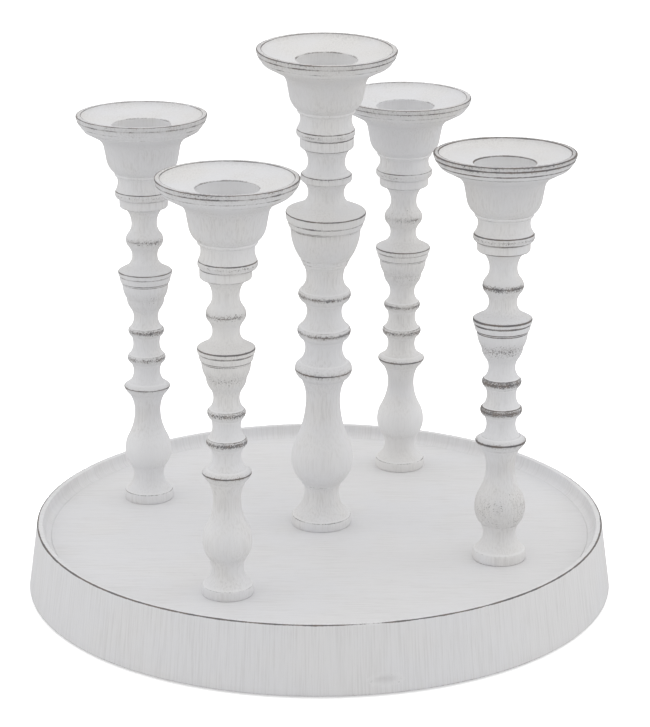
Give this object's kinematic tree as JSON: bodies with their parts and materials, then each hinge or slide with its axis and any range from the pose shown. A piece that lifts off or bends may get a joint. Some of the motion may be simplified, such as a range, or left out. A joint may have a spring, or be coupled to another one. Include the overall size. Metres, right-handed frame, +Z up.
{
  "type": "multi-light candle holder",
  "caption": "Whitewashed wooden candle holder: turned candlesticks of two heights, each with a dish and tealight recess, on a round tapered tray with a raised rim.",
  "frame": {"origin": "centre of the tray at the plane of the felt pads it stands on", "axes": "+Z up along the tray's axis, -Y towards the front, +X to the right"},
  "size_m": [0.3998, 0.3998, 0.3767],
  "materials": {
    "whitewashed_turning": "matt whitewash over turned hardwood, worn to grey-brown on the sharp edges",
    "whitewashed_hoop": "matt whitewash brushed on upright grain, worn dark on the rim's outer edge",
    "whitewashed_board": "matt whitewash with faint straight brush strokes",
    "bare_wood": "plain planed hardwood",
    "screw_steel": "bright zinc-plated steel",
    "felt": "pressed wool felt"
  },
  "bodies": {
    "root": {"tray_side_hoop": "whitewashed_hoop", "tray_floor_board": "whitewashed_board", "felt_pads": "felt", "fixing_screws": "screw_steel", "screw_washers": "screw_steel", "stem_front_left": "whitewashed_turning", "head_front_left": "whitewashed_turning", "dowel_front_left": "bare_wood", "stem_front_right": "whitewashed_turning", "head_front_right": "whitewashed_turning", "dowel_front_right": "bare_wood", "stem_back_left": "whitewashed_turning", "head_back_left": "whitewashed_turning", "dowel_back_left": "bare_wood", "stem_back_right": "whitewashed_turning", "head_back_right": "whitewashed_turning", "dowel_back_right": "bare_wood", "stem_centre": "whitewashed_turning", "head_centre": "whitewashed_turning", "dowel_centre": "bare_wood"}
  },
  "joints": []
}
